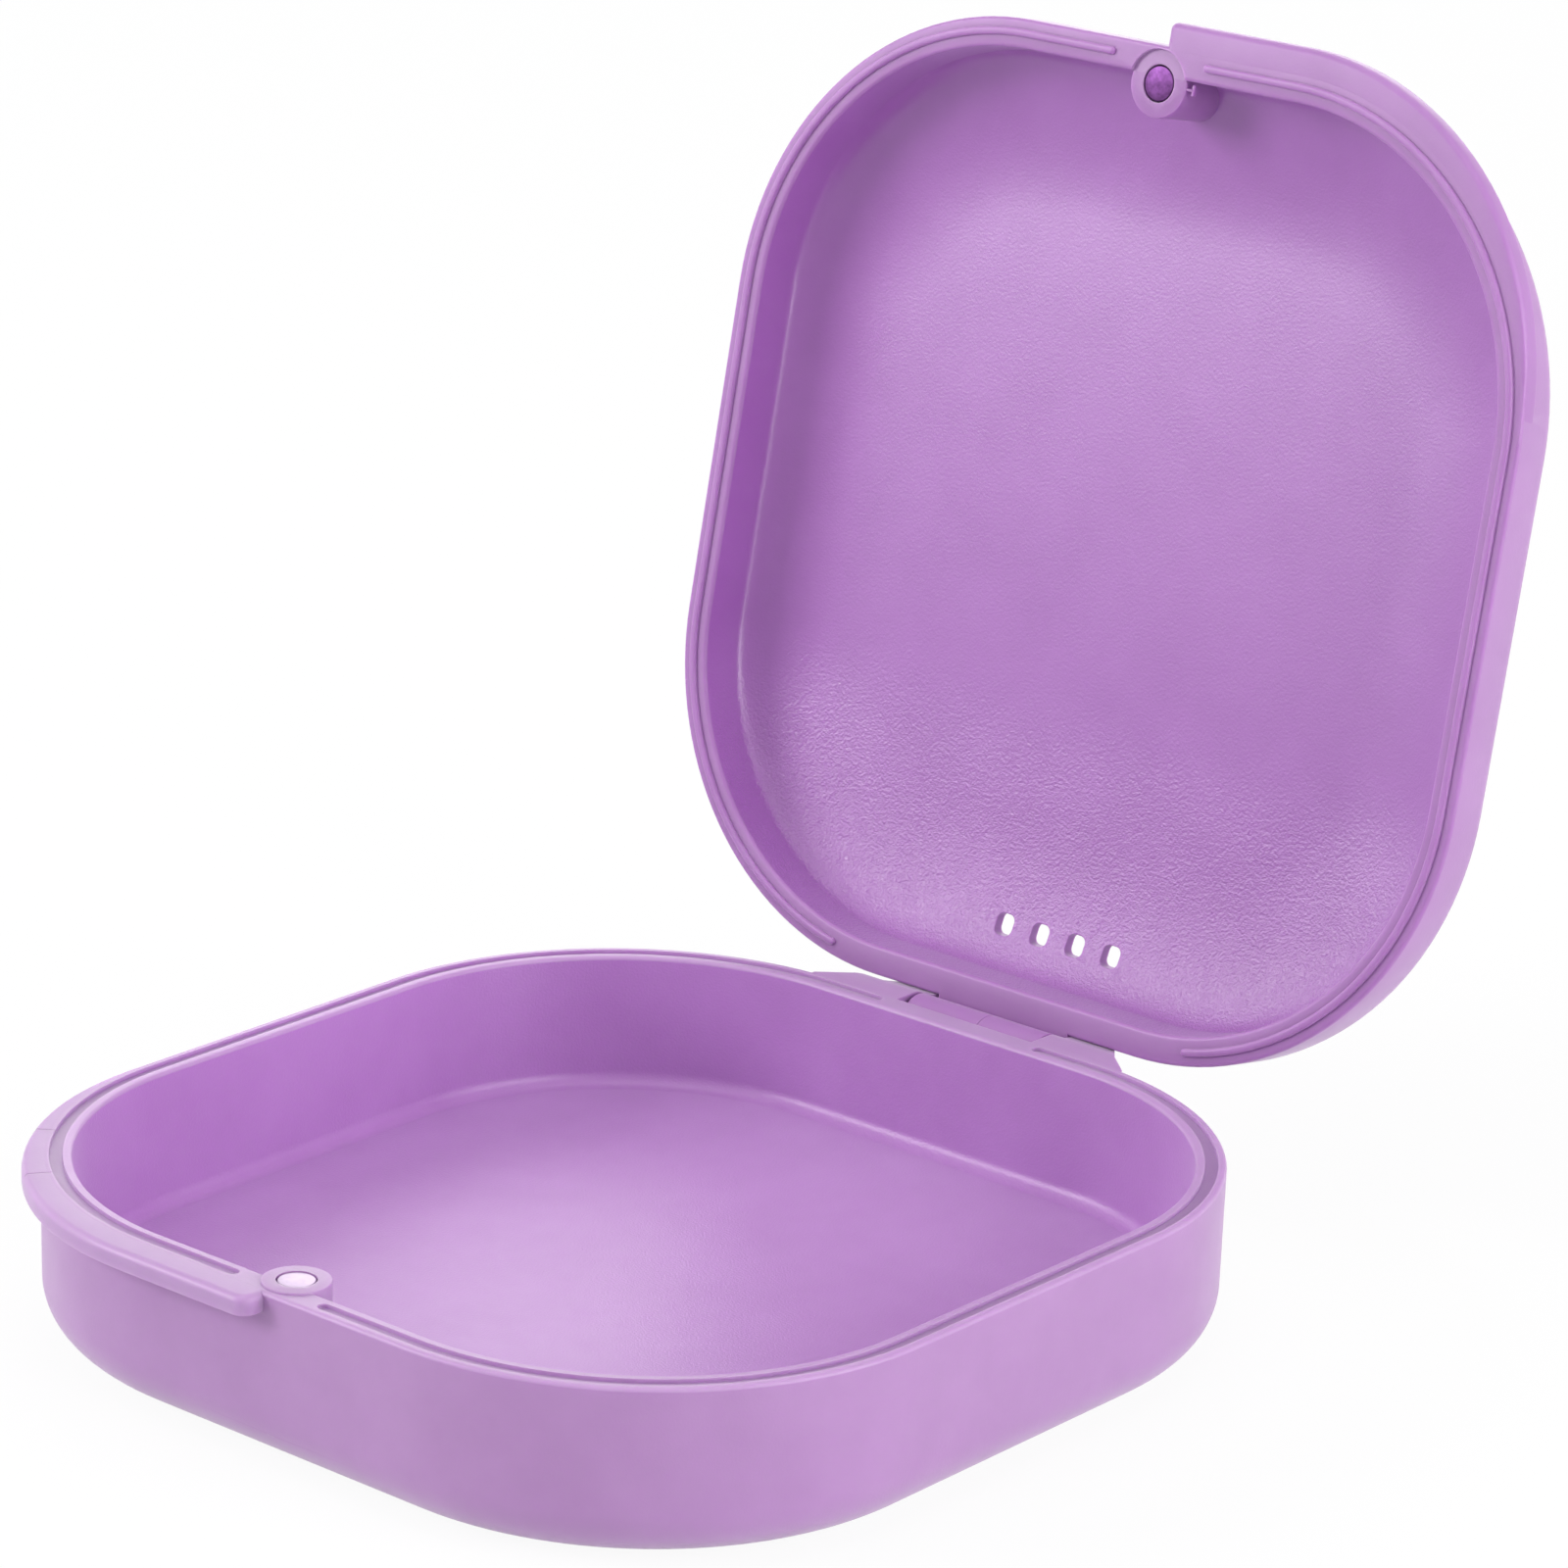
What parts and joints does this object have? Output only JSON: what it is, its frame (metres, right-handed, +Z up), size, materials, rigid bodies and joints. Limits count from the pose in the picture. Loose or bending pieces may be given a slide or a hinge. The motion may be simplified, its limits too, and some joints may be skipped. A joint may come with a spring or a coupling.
{
  "type": "retainer case",
  "caption": "Flat retainer case with rounded corners, a hinged vented lid, finger lips and a magnetic catch, standing open.",
  "frame": {"origin": "middle of the flat underside of the base shell, halfway between the sides and between the front and back walls", "axes": "+Z up out of the base, +Y from the magnetic catch back to the hinge, +X along the hinge to the right seen from the catch"},
  "size_m": [0.08, 0.1091, 0.0949],
  "materials": {
    "lilac_plastic": "satin moulded",
    "nickel_plate": "bright plated",
    "pin_steel": "drawn"
  },
  "bodies": {
    "base": {"base_shell": "lilac_plastic", "base_magnet": "nickel_plate", "hinge_pin": "pin_steel"},
    "lid": {"lid_shell": "lilac_plastic", "lid_magnet": "nickel_plate"}
  },
  "joints": [
    {"name": "lid_hinge", "type": "hinge", "parent": "base", "child": "lid", "pos_m": [0, 0.0425, 0.01205], "axis": [1, 0, 0], "range_deg": [0, 101]}
  ]
}
